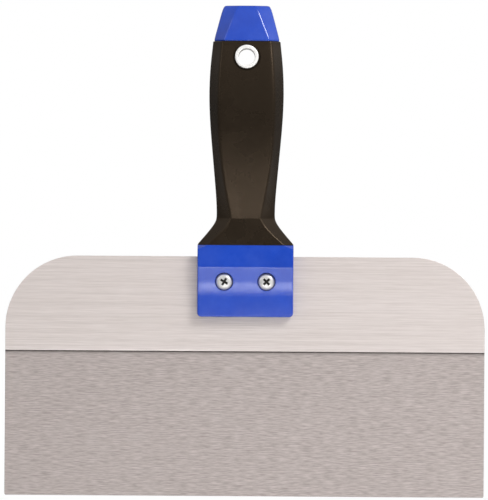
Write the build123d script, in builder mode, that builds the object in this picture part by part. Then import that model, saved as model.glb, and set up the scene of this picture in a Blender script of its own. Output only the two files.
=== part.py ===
"""Ten-inch flexible knife: a thin sprung blade clamped in a two-colour comfort handle.

All sizes are millimetres. +Z runs up the handle, the front of the tool looks towards -Y and the
origin is the centre of the hang hole, so the cutting edge is at the lowest Z.
"""

import os

from build123d import *

# --- Blade and stiffener sheets -------------------------------------------------------------------
blade_width = 254.0
blade_height = 127.0
blade_thickness = 0.5
shoulder_radius = 38.1
edge_corner_radius = 0.8
stiffener_height = 50.8
stiffener_thickness = 1.0

# The free part of the blade bends like a spring. A hinge this far below the stiffener stands for the
# bend, as a share of the free length.
flex_line_share = 0.15
flex_gap = 0.3

# --- Handle: heights down or up from the hang hole -------------------------------------------------
hole_to_butt = 27.2
hole_to_seam = 8.3
grip_length = 108.0
head_height = 38.0
head_crown = 6.0
slot_end_clearance = 0.3

# --- Handle: cross sections -------------------------------------------------------------------------
head_width = 50.8
head_depth = 19.2
head_corner_radius = 2.2
head_edge_radius = 0.8
head_bevel_width = 5.4
head_bevel_depth = 3.6
head_bevel_run_out = 2.2
head_flat_height = 11.0
head_slope_height = 14.5
head_slope_drop = 2.1
head_lip_drop = 0.6
head_blend_radius = 20.0

belly_width = 39.6
belly_depth = 27.8
neck_width = 30.8
neck_panel_width = 15.6
seam_width = 35.8
seam_depth = 21.4
seam_step = 0.7
seam_bevel_width = 5.2
butt_width = 24.8
butt_depth = 13.0
butt_bevel_width = 7.6
butt_edge_radius = 0.9
grip_wall = 3.0

# --- Clamp screws and nuts --------------------------------------------------------------------------
screw_spacing = 22.4
screw_height = 18.7
screw_diameter = 5.0
screw_length = 14.0
screw_head_diameter = 8.9
screw_head_height = 2.4
screw_head_edge = 0.5
screw_hole_clearance = 0.4
screw_recess_clearance = 0.9
cheek_under_head = 5.0
cross_width = 1.1
cross_length = 4.6
cross_depth = 1.5
cross_turns = {"left": 30.0, "right": 45.0}

nut_across_flats = 8.0
nut_thickness = 4.0
nut_pocket_clearance = 0.3
cheek_under_nut = 3.6

# --- Hang-hole eyelet ---------------------------------------------------------------------------------
eyelet_bore = 8.7
eyelet_wall = 0.6
eyelet_flange_width = 1.3
eyelet_flange_thickness = 1.2
eyelet_flange_edge = 0.5
eyelet_seat_clearance = 0.8
eyelet_seat_sink = 0.8

# --- Heights worked out from the sizes above ----------------------------------------------------------
butt_z = hole_to_butt
seam_z = hole_to_seam
head_top_z = seam_z - grip_length
head_bottom_z = head_top_z - head_height
blade_top_z = head_top_z - head_crown
edge_z = blade_top_z - blade_height
stiffener_bottom_z = blade_top_z - stiffener_height
free_length = stiffener_bottom_z - edge_z
flex_z = stiffener_bottom_z - flex_line_share * free_length
screw_z = head_bottom_z + screw_height

# --- The sheet stack is centred on Y = 0, with the stiffener in front ---------------------------------
stack_thickness = blade_thickness + stiffener_thickness
stack_front_y = -stack_thickness / 2
blade_front_y = stack_front_y + stiffener_thickness
blade_middle_y = blade_front_y + blade_thickness / 2
stack_back_y = blade_front_y + blade_thickness
screw_seat_y = stack_front_y - cheek_under_head
nut_seat_y = stack_back_y + cheek_under_nut
screw_x = {"left": -screw_spacing / 2, "right": screw_spacing / 2}

eyelet_tube_diameter = eyelet_bore + 2 * eyelet_wall
eyelet_flange_diameter = eyelet_tube_diameter + 2 * eyelet_flange_width

os.makedirs("parts", exist_ok=True)


# --- Cross sections of the handle: an octagon with a front panel, four bevels and rounded corners -----
def between(low, high, share):
    """Return the size that lies this share of the way from low to high."""
    return low + share * (high - low)


def handle_section(z, width, depth, panel, side, corner, inset=0.0):
    """Draw one octagonal section at height z; inset moves every face of it inwards."""
    half_width = width / 2 - inset
    half_depth = depth / 2 - inset
    half_panel = panel / 2 - inset / 2
    half_side = side / 2 - inset / 2
    with BuildSketch(Plane.XY.offset(z)) as section:
        with BuildLine():
            Polyline(
                (half_panel, -half_depth),
                (half_width, -half_side),
                (half_width, half_side),
                (half_panel, half_depth),
                (-half_panel, half_depth),
                (-half_width, half_side),
                (-half_width, -half_side),
                (-half_panel, -half_depth),
                close=True,
            )
        make_face()
        fillet(section.vertices(), radius=corner)
    return section.sketch


# Each station of the grip gives its place, counted from the seam as a share of the grip's length, and
# then the section's width and depth, its panel as a share of the width, its side as a share of the
# depth, and its corner radius. The neck's section is shared by the hand part and by the flare.
head_panel_share = 1 - 2 * head_bevel_width / head_width
head_side_share = 1 - 2 * head_bevel_depth / head_depth
neck_station = (0.869, neck_width, head_depth, neck_panel_width / neck_width, 0.37, 1.6)
hand_stations = [
    (0.0, seam_width, seam_depth, 0.73, 0.37, 2.2),
    (0.12, between(seam_width, belly_width, 0.71), between(seam_depth, belly_depth, 0.56), 0.74, 0.37, 3.0),
    (0.25, belly_width, between(seam_depth, belly_depth, 0.94), 0.75, 0.37, 3.4),
    (0.38, between(neck_width, belly_width, 0.91), belly_depth, 0.77, 0.37, 3.4),
    (0.52, between(neck_width, belly_width, 0.61), between(head_depth, belly_depth, 0.88), 0.79, 0.37, 3.0),
    (0.66, between(neck_width, belly_width, 0.31), between(head_depth, belly_depth, 0.6), 0.74, 0.37, 2.4),
    (0.78, between(neck_width, belly_width, 0.05), between(head_depth, belly_depth, 0.28), 0.63, 0.37, 1.8),
    neck_station,
]
flare_stations = [
    neck_station,
    (0.91, between(neck_width, head_width, 0.23), head_depth, 0.58, 0.44, 1.5),
    (0.955, between(neck_width, head_width, 0.61), head_depth, 0.69, 0.52, 1.2),
    (1.0, head_width, head_depth, head_panel_share, head_side_share, 1.0),
]

# Each station of the cap gives its place up from the seam, its width and its depth, all as shares, and
# its corner radius.
cap_side_share = 0.38
cap_stations = [
    (0.0, 1.0, 1.0, 2.2),
    (0.36, 0.73, 0.8, 2.0),
    (0.7, 0.35, 0.45, 1.8),
    (1.0, 0.0, 0.0, 1.6),
]


def grip_sections(inset):
    """Draw the sections of the hand part and of the flare, drawn in from the grip's outside."""
    runs = []
    for stations in (hand_stations, flare_stations):
        run = []
        for place, width, depth, panel_share, side_share, corner in stations:
            z = seam_z - place * grip_length
            panel = panel_share * width
            side = side_share * depth
            run.append(handle_section(z, width, depth, panel, side, corner, inset))
        runs.append(run)
    return runs


# --- Grip's outside, and the tang inside it: the same shape drawn in by the grip's wall ------------------
with BuildPart() as grip_outside:
    for sections in grip_sections(0.0):
        loft(sections)

with BuildPart() as core_tang:
    for sections in grip_sections(grip_wall):
        loft(sections)

# The eyelet's two seats lie a little below the grip's surface at the hang hole.
surface_y = max(point.Y for point, normal in grip_outside.part.find_intersection_points(Axis.Y))
eyelet_seat_y = surface_y - eyelet_seat_sink
eyelet_face_y = eyelet_seat_y + eyelet_flange_thickness

# --- Handle core: head, tang and cap in one hard moulding ------------------------------------------------
with BuildPart() as handle_core:
    # Head: a flat top zone, a slope that thins it towards the blade, and a lip over the blade.
    crease_z = head_top_z - head_flat_height
    slope_end_z = crease_z - head_slope_height
    slope_end_y = head_depth / 2 - head_slope_drop
    with BuildSketch(Plane.YZ) as head_profile:
        with BuildLine():
            Polyline(
                (0, head_top_z),
                (-head_depth / 2, head_top_z),
                (-head_depth / 2, crease_z),
                (-slope_end_y, slope_end_z),
                (-slope_end_y + head_lip_drop, head_bottom_z),
                (0, head_bottom_z),
            )
            mirror(about=Plane.YZ)
        make_face()
        slope_ends = head_profile.vertices().group_by(Axis.Y)[1]
        fillet(slope_ends, radius=head_blend_radius)
    extrude(amount=head_width / 2, both=True)
    fillet(edges().filter_by(Axis.Y).group_by(Axis.Z)[0], radius=head_corner_radius)
    side_edges = faces().filter_by(Axis.X).edges()
    fillet(side_edges.filter_by(lambda edge: edge.center().Z < head_top_z), radius=head_edge_radius)

    # The bevels of the grip run out on the four top corners of the head.
    for side_x in (-1, 1):
        for side_y in (-1, 1):
            corner = Vector(side_x * head_width / 2, side_y * head_depth / 2, head_top_z)
            panel_end = corner - Vector(side_x * head_bevel_width, 0, 0)
            side_end = corner - Vector(0, side_y * head_bevel_depth, 0)
            run_out = corner - Vector(0, 0, head_bevel_run_out)
            outwards = (side_end - panel_end).cross(run_out - panel_end) * (side_x * side_y)
            split(bisect_by=Plane(panel_end, z_dir=outwards), keep=Keep.BOTTOM)

    add(core_tang.part)

    # Cap: the end of the moulding, standing in from the grip by a small step.
    cap_height = butt_z - seam_z
    cap_width = seam_width - 2 * seam_step
    cap_depth = seam_depth - 2 * seam_step
    cap_sections = []
    for place, width_share, depth_share, corner in cap_stations:
        width = between(butt_width, cap_width, width_share)
        depth = between(butt_depth, cap_depth, depth_share)
        panel = width - 2 * between(seam_bevel_width, butt_bevel_width, place)
        side = cap_side_share * depth
        cap_sections.append(handle_section(seam_z + place * cap_height, width, depth, panel, side, corner))
    loft(cap_sections)
    fillet(faces().sort_by(Axis.Z)[-1].edges(), radius=butt_edge_radius)

    # Slot for the sheets, open below and at both sides.
    slot_top_z = blade_top_z + slot_end_clearance
    with BuildSketch(Plane.YZ):
        with Locations((0, (head_bottom_z + slot_top_z) / 2)):
            Rectangle(stack_thickness, slot_top_z - head_bottom_z)
    extrude(amount=head_width, both=True, mode=Mode.SUBTRACT)

    # Screw recesses in front, nut pockets behind, and the holes between them.
    with Locations(Plane(origin=(0, -head_depth / 2, screw_z), x_dir=(1, 0, 0), z_dir=(0, -1, 0))):
        with GridLocations(screw_spacing, 1, 2, 1):
            CounterBoreHole(
                radius=(screw_diameter + screw_hole_clearance) / 2,
                counter_bore_radius=(screw_head_diameter + screw_recess_clearance) / 2,
                counter_bore_depth=head_depth / 2 + screw_seat_y,
            )
    with BuildSketch(Plane(origin=(0, nut_seat_y, screw_z), x_dir=(1, 0, 0), z_dir=(0, 1, 0))):
        with GridLocations(screw_spacing, 1, 2, 1):
            RegularPolygon((nut_across_flats + nut_pocket_clearance) / 2, 6, major_radius=False)
    extrude(amount=head_depth, mode=Mode.SUBTRACT)

    # Hole for the eyelet's tube.
    with Locations(Plane(origin=(0, 0, 0), x_dir=(1, 0, 0), z_dir=(0, -1, 0))):
        Hole(radius=eyelet_tube_diameter / 2)
handle_core.part.label = "handle_core"
export_step(handle_core.part, "parts/handle_core.step")

# --- Grip: the soft sleeve moulded over the tang, with a flat seat on each side for the eyelet ---------
with BuildPart() as grip:
    add(grip_outside.part)
    add(core_tang.part, mode=Mode.SUBTRACT)
    for side_y in (-1, 1):
        with BuildSketch(Plane(origin=(0, side_y * eyelet_seat_y, 0), x_dir=(1, 0, 0), z_dir=(0, side_y, 0))):
            Circle((eyelet_flange_diameter + eyelet_seat_clearance) / 2)
        extrude(amount=belly_depth, mode=Mode.SUBTRACT)
    with Locations(Plane(origin=(0, 0, 0), x_dir=(1, 0, 0), z_dir=(0, -1, 0))):
        Hole(radius=eyelet_tube_diameter / 2)
grip.part.label = "grip"
export_step(grip.part, "parts/grip.step")

# --- Hang-hole eyelet: a flanged tube from the front, and the ring that holds its end behind ------------
with BuildPart() as hang_eyelet:
    with BuildSketch(Plane(origin=(0, -eyelet_seat_y, 0), x_dir=(1, 0, 0), z_dir=(0, -1, 0))):
        Circle(eyelet_flange_diameter / 2)
    extrude(amount=eyelet_flange_thickness)
    fillet(edges().group_by(Axis.Y)[0], radius=eyelet_flange_edge)
    with BuildSketch(Plane(origin=(0, -eyelet_seat_y, 0), x_dir=(1, 0, 0), z_dir=(0, 1, 0))):
        Circle(eyelet_tube_diameter / 2)
    extrude(amount=eyelet_seat_y + eyelet_face_y)
    with Locations(Plane(origin=(0, 0, 0), x_dir=(1, 0, 0), z_dir=(0, -1, 0))):
        Hole(radius=eyelet_bore / 2)
hang_eyelet.part.label = "hang_eyelet"
export_step(hang_eyelet.part, "parts/hang_eyelet.step")

with BuildPart() as hang_eyelet_ring:
    with BuildSketch(Plane(origin=(0, eyelet_seat_y, 0), x_dir=(1, 0, 0), z_dir=(0, 1, 0))):
        Circle(eyelet_flange_diameter / 2)
    extrude(amount=eyelet_flange_thickness)
    fillet(edges().group_by(Axis.Y)[-1], radius=eyelet_flange_edge)
    with Locations(Plane(origin=(0, 0, 0), x_dir=(1, 0, 0), z_dir=(0, -1, 0))):
        Hole(radius=eyelet_tube_diameter / 2)
hang_eyelet_ring.part.label = "hang_eyelet_ring"
export_step(hang_eyelet_ring.part, "parts/hang_eyelet_ring.step")

# --- Clamp screws and nuts -----------------------------------------------------------------------------
for side, x in screw_x.items():
    under_head = Plane(origin=(x, screw_seat_y, screw_z), x_dir=(1, 0, 0), z_dir=(0, -1, 0))
    with BuildPart() as clamp_screw:
        with BuildSketch(under_head):
            Circle(screw_head_diameter / 2)
        extrude(amount=screw_head_height)
        fillet(edges().group_by(Axis.Y)[0], radius=screw_head_edge)
        with BuildSketch(under_head):
            Circle(screw_diameter / 2)
        extrude(amount=-screw_length)
        with BuildSketch(under_head.offset(screw_head_height)):
            Rectangle(cross_length, cross_width, rotation=cross_turns[side])
            Rectangle(cross_width, cross_length, rotation=cross_turns[side])
        extrude(amount=-cross_depth, mode=Mode.SUBTRACT)
    clamp_screw.part.label = "clamp_screw_" + side
    export_step(clamp_screw.part, "parts/clamp_screw_" + side + ".step")

    nut_seat = Plane(origin=(x, nut_seat_y, screw_z), x_dir=(1, 0, 0), z_dir=(0, 1, 0))
    with BuildPart() as clamp_nut:
        with BuildSketch(nut_seat):
            RegularPolygon(nut_across_flats / 2, 6, major_radius=False)
            Circle(screw_diameter / 2, mode=Mode.SUBTRACT)
        extrude(amount=nut_thickness)
    clamp_nut.part.label = "clamp_nut_" + side
    export_step(clamp_nut.part, "parts/clamp_nut_" + side + ".step")


# --- Steel sheets ----------------------------------------------------------------------------------------
def held_sheet(front_y, thickness, bottom_z):
    """Cut a sheet that the handle clamps: rounded shoulders, two screw holes and a straight lower edge."""
    height = blade_top_z - bottom_z
    with BuildPart() as sheet:
        with BuildSketch(Plane(origin=(0, front_y, 0), x_dir=(-1, 0, 0), z_dir=(0, 1, 0))) as outline:
            with Locations((0, blade_top_z - height / 2)):
                Rectangle(blade_width, height)
            fillet(outline.vertices().group_by(Axis.Y)[-1], radius=shoulder_radius)
            with Locations((0, screw_z)):
                with GridLocations(screw_spacing, 1, 2, 1):
                    Circle((screw_diameter + screw_hole_clearance) / 2, mode=Mode.SUBTRACT)
        extrude(amount=thickness)
    return sheet


stiffener_plate = held_sheet(stack_front_y, stiffener_thickness, stiffener_bottom_z)
stiffener_plate.part.label = "stiffener_plate"
export_step(stiffener_plate.part, "parts/stiffener_plate.step")

# The blade is one sheet, cut at its flex line into the part that is held and the part that bends.
blade_tang = held_sheet(blade_front_y, blade_thickness, flex_z + blade_thickness / 2 + flex_gap)
blade_tang.part.label = "blade_tang"
export_step(blade_tang.part, "parts/blade_tang.step")

with BuildPart() as blade:
    with BuildSketch(Plane(origin=(0, blade_front_y, 0), x_dir=(-1, 0, 0), z_dir=(0, 1, 0))) as outline:
        with Locations((0, (edge_z + flex_z) / 2)):
            Rectangle(blade_width, flex_z - edge_z)
        fillet(outline.vertices().group_by(Axis.Y)[0], radius=edge_corner_radius)
    extrude(amount=blade_thickness)
    # Its upper edge is round about the flex line, so that it turns there in its own space.
    with BuildSketch(Plane.YZ):
        with Locations((blade_middle_y, flex_z)):
            Circle(blade_thickness / 2)
    extrude(amount=blade_width / 2, both=True)
blade.part.label = "blade"
export_step(blade.part, "parts/blade.step")
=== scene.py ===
# %% [markdown]
# # A ten-inch flexible knife
# The tool is a thin sprung blade, a stiffener plate in front of it, and a two-colour handle that clamps
# both with two screws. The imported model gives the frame: where each part is, how large it is and how
# the blade bends. This lesson builds the parts that are seen, in metres, around that frame.

# %% Load the frame
import math

import bmesh
import bpy
from mathutils import Matrix, Vector


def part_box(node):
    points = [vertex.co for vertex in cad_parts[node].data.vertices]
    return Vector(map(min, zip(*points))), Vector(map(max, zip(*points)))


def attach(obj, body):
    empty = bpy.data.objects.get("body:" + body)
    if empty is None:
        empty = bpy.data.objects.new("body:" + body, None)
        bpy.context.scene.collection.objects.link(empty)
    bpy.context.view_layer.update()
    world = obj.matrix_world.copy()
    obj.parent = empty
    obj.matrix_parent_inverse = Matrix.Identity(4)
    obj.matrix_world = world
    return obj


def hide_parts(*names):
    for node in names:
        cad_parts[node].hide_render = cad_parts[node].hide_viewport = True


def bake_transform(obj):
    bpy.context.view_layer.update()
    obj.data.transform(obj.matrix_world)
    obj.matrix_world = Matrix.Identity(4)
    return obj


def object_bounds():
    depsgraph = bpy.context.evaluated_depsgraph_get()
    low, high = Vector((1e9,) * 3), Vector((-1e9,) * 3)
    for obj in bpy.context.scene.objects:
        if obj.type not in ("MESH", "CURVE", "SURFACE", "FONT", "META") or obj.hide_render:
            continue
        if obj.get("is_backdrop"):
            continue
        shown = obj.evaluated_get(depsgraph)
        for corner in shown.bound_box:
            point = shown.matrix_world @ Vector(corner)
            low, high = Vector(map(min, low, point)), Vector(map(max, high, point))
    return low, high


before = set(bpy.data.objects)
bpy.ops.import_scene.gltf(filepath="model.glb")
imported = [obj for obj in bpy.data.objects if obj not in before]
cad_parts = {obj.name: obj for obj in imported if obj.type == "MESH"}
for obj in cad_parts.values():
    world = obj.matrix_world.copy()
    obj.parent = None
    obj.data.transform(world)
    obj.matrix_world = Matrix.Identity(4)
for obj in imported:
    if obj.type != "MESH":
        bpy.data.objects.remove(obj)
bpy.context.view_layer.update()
scene = bpy.context.scene

# %% [markdown]
# Sizes are easier to think about in millimetres, so one value turns them into metres. The heights that
# several pieces share are read from the frame's boxes: the seam between cap and grip, the top and the
# bottom of the head, and the edges of both sheets.

# %% Shared heights and sizes
MM = 0.001

grip_low, grip_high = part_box("grip")
core_low, core_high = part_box("handle_core")
plate_low, plate_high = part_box("stiffener_plate")
blade_low, blade_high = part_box("blade")
tang_low, tang_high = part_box("blade_tang")

seam_z = grip_high.z
head_top_z = grip_low.z
head_bottom_z = core_low.z
butt_z = core_high.z
edge_z = blade_low.z
half_head = core_high.x
print("handle from", round(head_bottom_z / MM, 1), "to", round(butt_z / MM, 1), "mm")

# %% [markdown]
# The camera stands in front of the tool, a few metres away with a long lens, so that the blade
# keeps its true proportions. It is rolled by a fraction of a degree, as a hand-set camera is.

# %% Camera
VIEW_HEIGHT = 265.0 * MM
CAMERA_DISTANCE = 3.5
LOOK_AT = Vector((-0.8 * MM, 0.0, -102.2 * MM))
CAMERA_ROLL = math.radians(0.38)

camera_data = bpy.data.cameras.new("camera")
camera_data.sensor_width = 36.0
camera_data.lens = camera_data.sensor_width * CAMERA_DISTANCE / VIEW_HEIGHT
camera_data.clip_start = 0.1
camera_data.clip_end = 50.0
camera = bpy.data.objects.new("camera", camera_data)
camera.matrix_world = (
    Matrix.Translation(LOOK_AT - Vector((0.0, CAMERA_DISTANCE, 0.0)))
    @ Matrix.Rotation(math.radians(90.0), 4, "X")
    @ Matrix.Rotation(CAMERA_ROLL, 4, "Z")
)
scene.collection.objects.link(camera)
scene.camera = camera
print("lens", round(camera_data.lens, 1), "mm")

# %% [markdown]
# The world and the finishes are trees of nodes. Three helpers keep them readable: one adds a node, one
# does a sum, and one maps a range of values onto another.

# %% Node helpers


def add_node(tree, kind, **settings):
    """Add a node and set its plain properties."""
    node = tree.nodes.new(kind)
    for title, value in settings.items():
        setattr(node, title, value)
    return node


def math_node(tree, operation, first, second=None):
    """Add a math node whose inputs are sockets or numbers."""
    node = add_node(tree, "ShaderNodeMath", operation=operation)
    for socket, value in zip(node.inputs, (first, second)):
        if value is None:
            continue
        if isinstance(value, (int, float)):
            socket.default_value = value
        else:
            tree.links.new(value, socket)
    return node.outputs["Value"]


def spread(tree, value, low, high, to_low, to_high):
    """Map a value from one range to another and keep it inside."""
    node = add_node(tree, "ShaderNodeMapRange")
    node.inputs["From Min"].default_value = low
    node.inputs["From Max"].default_value = high
    node.inputs["To Min"].default_value = to_low
    node.inputs["To Max"].default_value = to_high
    tree.links.new(value, node.inputs["Value"])
    return node.outputs["Result"]


# %% [markdown]
# The room is plain white to the camera. What the tool itself sees is different: a studio is dark where
# the camera stands and bright above and below, and that contrast is what draws the shapes of glossy
# plastic. A colour ramp on the height of each direction gives the bands.

# %% World bands
BANDS = [
    (-1.0, 0.55), (-0.5, 0.75), (-0.32, 0.95), (-0.2, 0.75), (-0.1, 0.08), (0.0, 0.02), (0.09, 0.1),
    (0.17, 0.85), (0.45, 1.15), (1.0, 0.8),
]
WARM_WHITE = (1.0, 0.985, 0.97)

world = bpy.data.worlds.new("studio")
scene.world = world
world.use_nodes = True
room = world.node_tree
room.nodes.clear()
direction = add_node(room, "ShaderNodeTexCoord")
axes = add_node(room, "ShaderNodeSeparateXYZ")
room.links.new(direction.outputs["Generated"], axes.inputs["Vector"])
bands = add_node(room, "ShaderNodeValToRGB")
room.links.new(spread(room, axes.outputs["Z"], -1.0, 1.0, 0.0, 1.0), bands.inputs["Fac"])
bands.color_ramp.interpolation = "EASE"
stops = bands.color_ramp.elements
for place, (level, light) in enumerate(BANDS):
    stop = stops[place] if place < 2 else stops.new((level + 1.0) / 2.0)
    stop.position = (level + 1.0) / 2.0
    stop.color = (*[light * tint for tint in WARM_WHITE], 1.0)
print("bands", len(stops))

# %% [markdown]
# The right of the room is a little brighter than the left, and both sides add a soft light that grows
# with the square of the sideways direction. A Light Path node then tells the camera's rays, which see
# white, from all others.

# %% World sides and camera rays
ROOM_STRENGTH = 0.5
RIGHT_SIDE_GAIN = 0.25
SIDE_LIGHT = 0.3

right_share = math_node(room, "MULTIPLY", axes.outputs["X"], RIGHT_SIDE_GAIN)
lit = add_node(room, "ShaderNodeVectorMath", operation="SCALE")
room.links.new(bands.outputs["Color"], lit.inputs[0])
room.links.new(math_node(room, "ADD", right_share, 1.0), lit.inputs["Scale"])
squared = math_node(room, "MULTIPLY", axes.outputs["X"], axes.outputs["X"])
with_sides = add_node(room, "ShaderNodeVectorMath", operation="ADD")
room.links.new(lit.outputs["Vector"], with_sides.inputs[0])
room.links.new(math_node(room, "MULTIPLY", squared, SIDE_LIGHT), with_sides.inputs[1])
felt = add_node(room, "ShaderNodeBackground")
felt.inputs["Strength"].default_value = ROOM_STRENGTH
room.links.new(with_sides.outputs["Vector"], felt.inputs["Color"])
seen = add_node(room, "ShaderNodeBackground")
seen.inputs["Color"].default_value = (1.0, 1.0, 1.0, 1.0)
path = add_node(room, "ShaderNodeLightPath")
mix = add_node(room, "ShaderNodeMixShader")
room.links.new(path.outputs["Is Camera Ray"], mix.inputs["Fac"])
room.links.new(felt.outputs["Background"], mix.inputs[1])
room.links.new(seen.outputs["Background"], mix.inputs[2])
output = add_node(room, "ShaderNodeOutputWorld")
room.links.new(mix.outputs["Shader"], output.inputs["Surface"])

scene.view_settings.view_transform = "Standard"
scene.view_settings.look = "None"
scene.cycles.use_denoising = True

# %% [markdown]
# Four softboxes light the tool. The key light stands high on the right and throws the head's shadow
# down to the left. A narrow low light draws the bright line where the head's slope ends, a wider one
# below it brightens what leans down, and a weak one on the left fills.

# %% Lights


def softbox(name, place, size, power):
    """Make a rectangular area light that looks at the tool."""
    data = bpy.data.lights.new(name, "AREA")
    data.shape = "RECTANGLE"
    data.size, data.size_y = size
    data.energy = power
    light = bpy.data.objects.new(name, data)
    light.location = place
    light.rotation_mode = "QUATERNION"
    light.rotation_quaternion = (LOOK_AT - Vector(place)).to_track_quat("-Z", "Y")
    scene.collection.objects.link(light)
    return light


softbox("key_light", (0.725, -1.0, 0.774), (0.5, 0.5), 15.5)
softbox("low_light", (0.15, -1.6, -0.505), (1.2, 0.11), 3.1)
softbox("apron_light", (0.1, -1.6, -0.76), (1.2, 0.28), 0.75)
softbox("fill_light", (-1.6, -1.6, 0.95), (1.0, 1.0), 4.5)

# %% [markdown]
# The floor is a pale round sheet below the blade. It isn't part of the tool, so it is marked as stage.
# Two lights stand lower than it, so it throws no shadow, and the gloss doesn't mirror it.

# %% Floor
FLOOR_DROP = 60.0 * MM
FLOOR_RADIUS = 1.4

bm = bmesh.new()
bmesh.ops.create_circle(bm, cap_ends=True, segments=96, radius=FLOOR_RADIUS)
bmesh.ops.translate(bm, verts=bm.verts, vec=(0.0, 0.0, edge_z - FLOOR_DROP))
floor_mesh = bpy.data.meshes.new("floor")
bm.to_mesh(floor_mesh)
bm.free()
floor = bpy.data.objects.new("floor", floor_mesh)
scene.collection.objects.link(floor)
floor.visible_shadow = False
floor.visible_glossy = False
floor_finish = bpy.data.materials.new("pale_floor")
floor_finish.use_nodes = True
floor_shader = floor_finish.node_tree.nodes["Principled BSDF"]
floor_shader.inputs["Base Color"].default_value = (0.9, 0.9, 0.9, 1.0)
floor_shader.inputs["Roughness"].default_value = 0.9
floor.data.materials.append(floor_finish)
floor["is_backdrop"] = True
print("floor radius", FLOOR_RADIUS, "m")

# %% [markdown]
# ## Finishes
# Each finish is a Principled shader fed by a few patterns. Patterns that several finishes share are node
# groups: fine grain for moulded skins, brushed lines for worked steel, and handling marks for everything
# that hands and plaster touch. All of them read Object coordinates, so they stay put on the part. Two
# more helpers make a group with its sockets and add a noise.

# %% Pattern helpers


def new_group(name, inputs, outputs):
    """Make a node group with named number, vector and colour sockets."""
    group = bpy.data.node_groups.new(name, "ShaderNodeTree")
    for title, kind, value in inputs:
        socket = group.interface.new_socket(name=title, in_out="INPUT", socket_type=kind)
        if value is not None:
            socket.default_value = value
    for title, kind in outputs:
        group.interface.new_socket(name=title, in_out="OUTPUT", socket_type=kind)
    start = group.nodes.new("NodeGroupInput")
    end = group.nodes.new("NodeGroupOutput")
    return group, start, end


def noise(tree, vector, scale, detail, roughness):
    """Add a noise texture that reads a vector."""
    node = add_node(tree, "ShaderNodeTexNoise")
    node.inputs["Scale"].default_value = scale
    node.inputs["Detail"].default_value = detail
    node.inputs["Roughness"].default_value = roughness
    tree.links.new(vector, node.inputs["Vector"])
    return node


# %% [markdown]
# Brushed steel is a field of short scratches that all run one way. Noise gives them when its space is
# squeezed along the scratch and stretched across it. Two sizes are added, because a belt leaves both
# long faint lines and short deeper dashes.

# %% Brushed lines group
DEPTH_SCALE = 300.0
LINE_STRETCH = (0.12, 1.0, 0.55)

brushed_lines, start, end = new_group(
    "brushed_lines",
    [("Vector", "NodeSocketVector", None), ("Length", "NodeSocketFloat", 8.0),
     ("Spacing", "NodeSocketFloat", 0.4), ("Dash share", "NodeSocketFloat", 0.5)],
    [("Lines", "NodeSocketFloat"), ("Dashes", "NodeSocketFloat")],
)
per_metre = 1000.0
split_vector = add_node(brushed_lines, "ShaderNodeSeparateXYZ")
brushed_lines.links.new(start.outputs["Vector"], split_vector.inputs["Vector"])
along = math_node(brushed_lines, "DIVIDE", per_metre, start.outputs["Length"])
across = math_node(brushed_lines, "DIVIDE", per_metre, start.outputs["Spacing"])
join_vector = add_node(brushed_lines, "ShaderNodeCombineXYZ")
for axis, scale in (("X", along), ("Y", DEPTH_SCALE), ("Z", across)):
    squeezed = math_node(brushed_lines, "MULTIPLY", split_vector.outputs[axis], scale)
    brushed_lines.links.new(squeezed, join_vector.inputs[axis])
dash_noise = noise(brushed_lines, join_vector.outputs["Vector"], 1.0, 2.0, 0.6)
dashes = spread(brushed_lines, dash_noise.outputs["Fac"], 0.36, 0.64, 0.0, 1.0)
long_lines = add_node(brushed_lines, "ShaderNodeVectorMath", operation="MULTIPLY")
brushed_lines.links.new(join_vector.outputs["Vector"], long_lines.inputs[0])
long_lines.inputs[1].default_value = LINE_STRETCH
line_noise = noise(brushed_lines, long_lines.outputs["Vector"], 1.0, 3.0, 0.55)
lines = spread(brushed_lines, line_noise.outputs["Fac"], 0.34, 0.66, 0.0, 1.0)
dash_part = math_node(brushed_lines, "MULTIPLY", dashes, start.outputs["Dash share"])
line_share = math_node(brushed_lines, "SUBTRACT", 1.0, start.outputs["Dash share"])
line_part = math_node(brushed_lines, "MULTIPLY", lines, line_share)
total = math_node(brushed_lines, "ADD", dash_part, line_part)
brushed_lines.links.new(total, end.inputs["Lines"])
brushed_lines.links.new(dashes, end.inputs["Dashes"])

# %% [markdown]
# A moulded skin is never quite smooth: the mould's spark-eroded face leaves a grain. Fine noise gives the
# grain, and a slower noise varies it, so no patch looks the same as the next.

# %% Fine grain group
fine_grain, start, end = new_group(
    "fine_grain",
    [("Vector", "NodeSocketVector", None), ("Grain", "NodeSocketFloat", 0.5)],
    [("Height", "NodeSocketFloat"), ("Mottle", "NodeSocketFloat")],
)
grain_scale = math_node(fine_grain, "DIVIDE", per_metre, start.outputs["Grain"])
grain_noise = noise(fine_grain, start.outputs["Vector"], 1.0, 2.0, 0.55)
fine_grain.links.new(grain_scale, grain_noise.inputs["Scale"])
pit_cells = add_node(fine_grain, "ShaderNodeTexVoronoi", feature="SMOOTH_F1")
fine_grain.links.new(start.outputs["Vector"], pit_cells.inputs["Vector"])
fine_grain.links.new(grain_scale, pit_cells.inputs["Scale"])
pits = math_node(fine_grain, "MULTIPLY", pit_cells.outputs["Distance"], 0.6)
grain_height = math_node(fine_grain, "ADD", grain_noise.outputs["Fac"], pits)
slow_noise = noise(fine_grain, start.outputs["Vector"], 70.0, 4.0, 0.6)
mottle = spread(fine_grain, slow_noise.outputs["Fac"], 0.3, 0.7, 0.0, 1.0)
fine_grain.links.new(grain_height, end.inputs["Height"])
fine_grain.links.new(mottle, end.inputs["Mottle"])

# %% [markdown]
# Handling marks are the slow changes that use leaves: patches where a hand has polished the skin, and
# thin smears. The mask is soft, and each finish decides what it does with it.

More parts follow.
